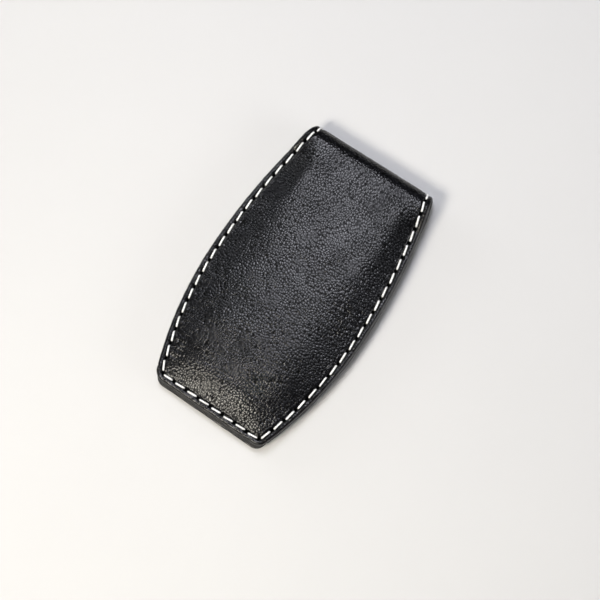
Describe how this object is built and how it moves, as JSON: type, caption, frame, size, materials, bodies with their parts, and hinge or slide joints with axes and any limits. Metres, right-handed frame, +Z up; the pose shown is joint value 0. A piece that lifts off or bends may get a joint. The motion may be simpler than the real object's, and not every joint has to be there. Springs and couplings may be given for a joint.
{
  "type": "money clip",
  "caption": "Barrel-shaped money clip of folded, padded leather with stitched edges, held shut by hidden magnets.",
  "frame": {"origin": "centre of the closed clip's length and width, on the surface that the back flap lies on", "axes": "+Y from the free end towards the fold, +Z up through the closed flaps, +X across the clip"},
  "size_m": [0.0456, 0.0772, 0.0072],
  "materials": {
    "cover_leather": "fine pebbled grain, semi-matt, painted cut edges",
    "lining_leather": "smooth matt",
    "seam_thread": "waxed twisted thread",
    "linen_tape": "plain woven",
    "bonded_leather_board": "fibrous, matt",
    "felt_pad": "felted",
    "nickelled_magnet": "nickel plated, satin"
  },
  "bodies": {
    "back_flap": {"back_cover": "cover_leather", "back_lining": "lining_leather", "back_fold_tape": "linen_tape", "back_outer_thread": "seam_thread", "back_inner_thread": "seam_thread", "back_board": "bonded_leather_board", "back_pad": "felt_pad", "back_magnet_patch": "linen_tape", "back_magnet_left": "nickelled_magnet", "back_magnet_right": "nickelled_magnet"},
    "fold": {"fold_cover": "cover_leather", "fold_lining": "lining_leather", "fold_tape": "linen_tape", "fold_outer_thread_left": "seam_thread", "fold_outer_thread_right": "seam_thread", "fold_inner_thread_left": "seam_thread", "fold_inner_thread_right": "seam_thread"},
    "front_flap": {"front_cover": "cover_leather", "front_lining": "lining_leather", "front_fold_tape": "linen_tape", "front_outer_thread": "seam_thread", "front_inner_thread": "seam_thread", "front_board": "bonded_leather_board", "front_pad": "felt_pad", "front_magnet_patch": "linen_tape", "front_magnet_left": "nickelled_magnet", "front_magnet_right": "nickelled_magnet"}
  },
  "joints": [
    {"name": "fold_back_bend", "type": "hinge", "parent": "back_flap", "child": "fold", "pos_m": [0, 0.03756, 0.00104], "axis": [-1, 0, 0], "range_deg": [0, 90]},
    {"name": "fold_front_bend", "type": "hinge", "parent": "fold", "child": "front_flap", "pos_m": [0, 0.03756, 0.00616], "axis": [-1, 0, 0], "range_deg": [0, 90]}
  ],
  "couplings": [
    {"joint": "fold_front_bend", "follows": "fold_back_bend", "ratio": 1}
  ]
}
